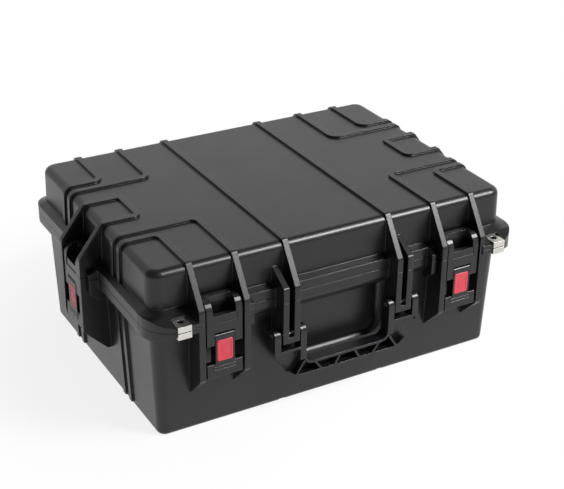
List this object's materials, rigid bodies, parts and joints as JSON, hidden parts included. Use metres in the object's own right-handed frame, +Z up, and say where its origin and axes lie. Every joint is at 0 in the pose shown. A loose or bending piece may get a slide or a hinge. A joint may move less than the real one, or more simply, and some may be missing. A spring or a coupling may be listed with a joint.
{
  "type": "hard tool case",
  "caption": "Moulded plastic tool case with a deep tub, ribbed hinged lid, draw latches on the front and sides, folding front handle and steel padlock plates.",
  "frame": {"origin": "centre of the tub's foot on the floor, midway between the flange's front and back faces", "axes": "+Z up, -Y is the front with the handle, +X is the right-hand side seen from the front"},
  "size_m": [0.584, 0.4258, 0.2388],
  "materials": {
    "case_plastic": "charcoal black, finely textured",
    "handle_plastic": "charcoal black, fine texture, slightly smoother than the case",
    "latch_plastic": "charcoal black, fine texture",
    "button_red": "red, satin",
    "seal_rubber": "soft black rubber",
    "plate_steel": "bright stainless plate",
    "pin_steel": "bright pin",
    "spring_steel": "bare wire"
  },
  "bodies": {
    "base": {"tub": "case_plastic", "hinge_pin_left": "pin_steel", "hinge_pin_right": "pin_steel", "handle_pins": "pin_steel", "tub_padlock_plate_left": "plate_steel", "tub_padlock_plate_right": "plate_steel", "front_left_pivot_pin": "pin_steel", "front_right_pivot_pin": "pin_steel", "left_pivot_pin": "pin_steel", "right_pivot_pin": "pin_steel"},
    "lid": {"lid": "case_plastic", "seal_ring": "seal_rubber", "lid_padlock_plate_left": "plate_steel", "lid_padlock_plate_right": "plate_steel"},
    "handle": {"carry_handle": "handle_plastic"},
    "front_left_lever": {"front_left_lever": "latch_plastic", "front_left_link_pin": "pin_steel", "front_left_spring": "spring_steel"},
    "front_left_clamp": {"front_left_clamp": "latch_plastic"},
    "front_left_button": {"front_left_button": "button_red"},
    "front_right_lever": {"front_right_lever": "latch_plastic", "front_right_link_pin": "pin_steel", "front_right_spring": "spring_steel"},
    "front_right_clamp": {"front_right_clamp": "latch_plastic"},
    "front_right_button": {"front_right_button": "button_red"},
    "left_lever": {"left_lever": "latch_plastic", "left_link_pin": "pin_steel", "left_spring": "spring_steel"},
    "left_clamp": {"left_clamp": "latch_plastic"},
    "left_button": {"left_button": "button_red"},
    "right_lever": {"right_lever": "latch_plastic", "right_link_pin": "pin_steel", "right_spring": "spring_steel"},
    "right_clamp": {"right_clamp": "latch_plastic"},
    "right_button": {"right_button": "button_red"}
  },
  "joints": [
    {"name": "lid_hinge", "type": "hinge", "parent": "base", "child": "lid", "pos_m": [0, 0.2014, 0.1685], "axis": [-1, 0, 0], "range_deg": [0, 105]},
    {"name": "handle_fold", "type": "hinge", "parent": "base", "child": "handle", "pos_m": [0, -0.205, 0.12], "axis": [-1, 0, 0], "range_deg": [0, 95]},
    {"name": "front_left_lever_pivot", "type": "hinge", "parent": "base", "child": "front_left_lever", "pos_m": [-0.177, -0.1986, 0.1538], "axis": [-1, 0, 0], "range_deg": [0, 86]},
    {"name": "front_left_clamp_link", "type": "hinge", "parent": "front_left_lever", "child": "front_left_clamp", "pos_m": [-0.177, -0.2038, 0.1413], "axis": [-1, 0, 0], "range_deg": [-98.9, 0]},
    {"name": "front_left_button_press", "type": "slide", "parent": "front_left_lever", "child": "front_left_button", "axis": [0, 1, 0], "range_m": [0, 0.003], "stiffness_N_per_m": 600, "springref_m": -0.002, "deforming": ["front_left_spring"]},
    {"name": "front_right_lever_pivot", "type": "hinge", "parent": "base", "child": "front_right_lever", "pos_m": [0.177, -0.1986, 0.1538], "axis": [-1, 0, 0], "range_deg": [0, 86]},
    {"name": "front_right_clamp_link", "type": "hinge", "parent": "front_right_lever", "child": "front_right_clamp", "pos_m": [0.177, -0.2038, 0.1413], "axis": [-1, 0, 0], "range_deg": [-98.9, 0]},
    {"name": "front_right_button_press", "type": "slide", "parent": "front_right_lever", "child": "front_right_button", "axis": [0, 1, 0], "range_m": [0, 0.003], "stiffness_N_per_m": 600, "springref_m": -0.002, "deforming": ["front_right_spring"]},
    {"name": "left_lever_pivot", "type": "hinge", "parent": "base", "child": "left_lever", "pos_m": [-0.2772, 0, 0.1538], "axis": [0, 1, 0], "range_deg": [0, 86]},
    {"name": "left_clamp_link", "type": "hinge", "parent": "left_lever", "child": "left_clamp", "pos_m": [-0.2824, 0, 0.1413], "axis": [0, 1, 0], "range_deg": [-98.9, 0]},
    {"name": "left_button_press", "type": "slide", "parent": "left_lever", "child": "left_button", "axis": [1, 0, 0], "range_m": [0, 0.003], "stiffness_N_per_m": 600, "springref_m": -0.002, "deforming": ["left_spring"]},
    {"name": "right_lever_pivot", "type": "hinge", "parent": "base", "child": "right_lever", "pos_m": [0.2772, 0, 0.1538], "axis": [0, -1, 0], "range_deg": [0, 86]},
    {"name": "right_clamp_link", "type": "hinge", "parent": "right_lever", "child": "right_clamp", "pos_m": [0.2824, 0, 0.1413], "axis": [0, -1, 0], "range_deg": [-98.9, 0]},
    {"name": "right_button_press", "type": "slide", "parent": "right_lever", "child": "right_button", "axis": [-1, 0, 0], "range_m": [0, 0.003], "stiffness_N_per_m": 600, "springref_m": -0.002, "deforming": ["right_spring"]}
  ],
  "couplings": [
    {"joint": "front_left_clamp_link", "follows": "front_left_lever_pivot", "ratio": -1.15},
    {"joint": "front_right_clamp_link", "follows": "front_right_lever_pivot", "ratio": -1.15},
    {"joint": "left_clamp_link", "follows": "left_lever_pivot", "ratio": -1.15},
    {"joint": "right_clamp_link", "follows": "right_lever_pivot", "ratio": -1.15}
  ]
}
